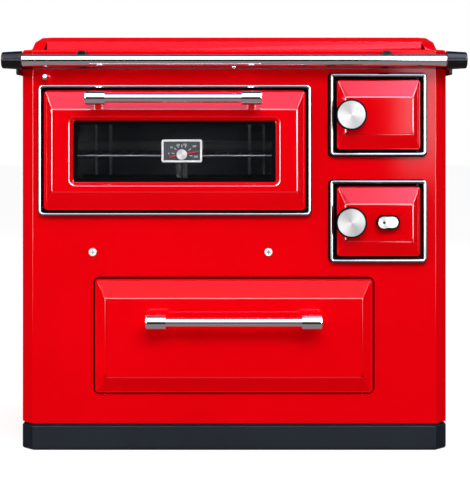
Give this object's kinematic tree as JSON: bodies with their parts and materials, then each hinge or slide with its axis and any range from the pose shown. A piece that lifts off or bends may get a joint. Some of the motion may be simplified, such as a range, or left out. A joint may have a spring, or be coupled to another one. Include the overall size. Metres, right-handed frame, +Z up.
{
  "type": "cooking range",
  "caption": "Solid fuel cooking range with a lidded hob, oven with a drop-down window door, fire and ash doors, wood drawer, towel rail and rear flue collar.",
  "frame": {"origin": "middle of the plinth's underside, on the floor", "axes": "+X to the right seen from the front, +Y to the back with the doors on the -Y side, +Z up"},
  "size_m": [0.97, 0.739, 0.8803],
  "materials": {
    "red_enamel": "glossy bright red enamel",
    "slate_enamel": "satin dark slate enamel",
    "black_enamel": "satin black enamel",
    "cast_iron": "machined and blackened cast iron",
    "chrome": "bright chrome plating",
    "black_plastic": "glossy black heat-proof plastic",
    "oven_enamel": "glossy speckled dark oven enamel",
    "window_glass": "clear oven glass with a dark printed border",
    "zinc_steel": "zinc coated sheet steel",
    "satin_aluminium": "brushed satin aluminium",
    "dial_paint": "matt dark slate dial with plain ticks",
    "needle_paint": "red needle with a spun metal hub",
    "rope": "braided glass fibre rope",
    "firebrick": "rough pale firebrick"
  },
  "bodies": {
    "cabinet": {"plinth": "slate_enamel", "base_plate": "black_enamel", "front_panel": "red_enamel", "side_panel_left": "red_enamel", "side_panel_right": "red_enamel", "back_panel": "zinc_steel", "top_ring": "black_enamel", "hob_frame": "red_enamel", "hob_plate": "cast_iron", "hob_cover": "cast_iron", "rail_tube": "chrome", "rail_cap_left": "black_plastic", "rail_cap_right": "black_plastic", "rail_posts": "black_plastic", "panel_screws": "chrome", "oven_box": "oven_enamel", "oven_supports": "chrome", "oven_rack": "chrome", "baking_tray": "oven_enamel", "rope_seals": "rope", "oven_trim": "chrome", "fire_trim": "chrome", "ash_trim": "chrome", "firebox_shell": "black_enamel", "firebricks": "firebrick", "grate": "cast_iron", "ash_pan": "zinc_steel", "flue_collar": "cast_iron", "drawer_runners": "zinc_steel", "lid_brackets": "chrome"},
    "lid": {"lid_panel": "red_enamel", "lid_hinges": "chrome"},
    "oven_door": {"oven_door_front": "red_enamel", "oven_door_liner": "oven_enamel", "oven_glass": "window_glass", "oven_hinge_pins": "zinc_steel", "oven_handle_bar": "chrome", "oven_handle_caps": "chrome", "thermometer_case": "satin_aluminium", "thermometer_dial": "dial_paint"},
    "needle": {"thermometer_needle": "needle_paint"},
    "fire_door": {"fire_door_front": "red_enamel", "fire_door_liner": "oven_enamel", "fire_hinge_pins": "zinc_steel", "fire_knob": "black_plastic", "fire_knob_disc": "satin_aluminium"},
    "ash_door": {"ash_door_front": "red_enamel", "ash_door_liner": "oven_enamel", "ash_hinge_pins": "zinc_steel", "ash_knob": "black_plastic", "ash_knob_disc": "satin_aluminium", "air_regulator_body": "black_plastic", "air_plate": "satin_aluminium"},
    "air_slider": {"air_slider": "satin_aluminium"},
    "drawer": {"drawer_front": "red_enamel", "drawer_box": "black_enamel", "drawer_handle_bar": "chrome", "drawer_handle_caps": "chrome"},
    "damper": {"damper_rod": "chrome", "damper_plate": "zinc_steel"}
  },
  "joints": [
    {"name": "oven_door_hinge", "type": "hinge", "parent": "cabinet", "child": "oven_door", "pos_m": [-0.1255, -0.309, 0.5153], "axis": [1, 0, 0], "range_deg": [0, 90]},
    {"name": "fire_door_hinge", "type": "hinge", "parent": "cabinet", "child": "fire_door", "pos_m": [0.3875, -0.309, 0.7115], "axis": [0, 0, 1], "range_deg": [0, 85]},
    {"name": "ash_door_hinge", "type": "hinge", "parent": "cabinet", "child": "ash_door", "pos_m": [0.3875, -0.309, 0.4866], "axis": [0, 0, 1], "range_deg": [0, 85]},
    {"name": "air_slide", "type": "slide", "parent": "ash_door", "child": "air_slider", "axis": [1, 0, 0], "range_m": [0, 0.017]},
    {"name": "drawer_slide", "type": "slide", "parent": "cabinet", "child": "drawer", "axis": [0, -1, 0], "range_m": [0, 0.4]},
    {"name": "damper_slide", "type": "slide", "parent": "cabinet", "child": "damper", "axis": [0, -1, 0], "range_m": [0, 0.04]},
    {"name": "lid_hinge", "type": "hinge", "parent": "cabinet", "child": "lid", "pos_m": [0, 0.275, 0.86], "axis": [-1, 0, 0], "range_deg": [0, 95]},
    {"name": "needle_spin", "type": "hinge", "parent": "oven_door", "child": "needle", "pos_m": [-0.1108, -0.311, 0.6276], "axis": [0, 1, 0], "range_deg": [0, 198]}
  ]
}
